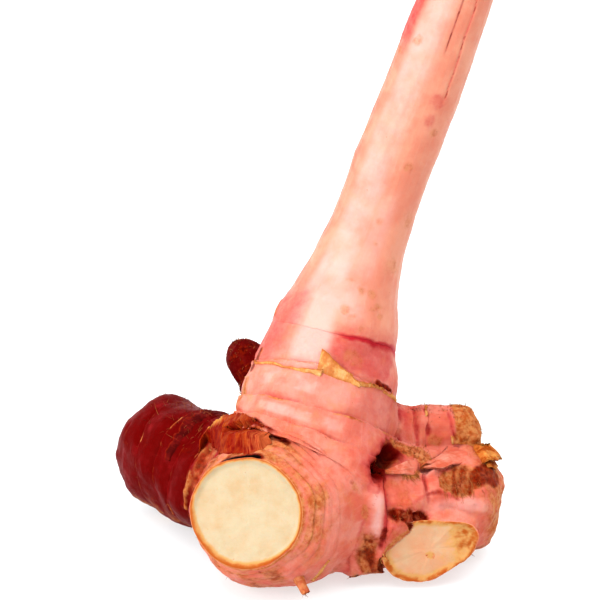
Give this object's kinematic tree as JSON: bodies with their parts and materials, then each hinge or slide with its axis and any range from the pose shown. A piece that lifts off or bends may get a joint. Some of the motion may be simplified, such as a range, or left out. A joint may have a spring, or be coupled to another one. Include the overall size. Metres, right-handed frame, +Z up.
{
  "type": "ginger root",
  "caption": "Fresh blue ginger root: a ringed pink rhizome with short blunt branches, a round cut face in front and a leaning leafy stem cut off short.",
  "frame": {"origin": "on the table, under the middle of the root's outline", "axes": "+Z up; -Y is the front, which the cut face looks towards; the stem leans towards +X"},
  "size_m": [0.1284, 0.1022, 0.1862],
  "materials": {
    "rhizome_skin": "waxy, ringed skin, cream where it is cut",
    "stem_sheath": "smooth and waxy, finely striped lengthwise",
    "dry_scale": "dry, thin and torn",
    "pale_scale": "dry and thin",
    "dark_scale": "dry, thin and torn"
  },
  "bodies": {
    "root": {"rhizome": "rhizome_skin", "stem": "stem_sheath", "front_scale": "dry_scale", "ring_scale": "dry_scale", "fork_scale": "pale_scale", "tip_scale": "dry_scale", "knob_scale": "dark_scale"}
  },
  "joints": []
}
